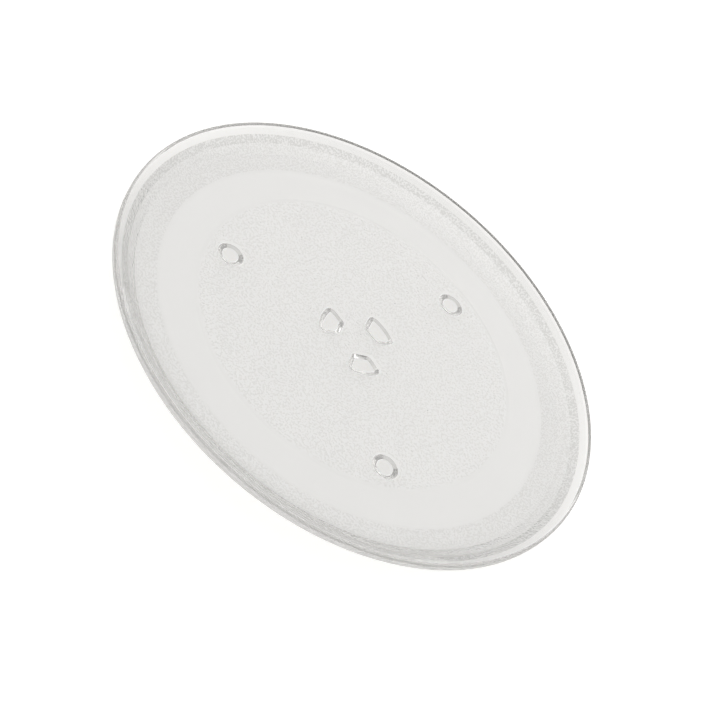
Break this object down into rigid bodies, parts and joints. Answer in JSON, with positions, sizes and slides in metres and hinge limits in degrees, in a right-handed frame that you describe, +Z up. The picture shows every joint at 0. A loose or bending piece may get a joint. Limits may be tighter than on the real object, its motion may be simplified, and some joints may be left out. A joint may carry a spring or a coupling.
{
  "type": "microwave turntable plate",
  "caption": "Round shallow dish of clear pressed glass that turns food in a microwave oven, with a smooth roller track, feet and drive lugs under its stippled base.",
  "frame": {"origin": "on the plate's axis, at the level of the feet and drive lugs that it stands on", "axes": "+Z up along the plate's axis, out of the dish; one foot and one drive lug lie on +Y"},
  "size_m": [0.288, 0.288, 0.0171],
  "materials": {
    "pressed_glass": "clear and glossy, with a fine stipple on the underside of the base and wall"
  },
  "bodies": {
    "root": {"turntable_plate": "pressed_glass"}
  },
  "joints": []
}
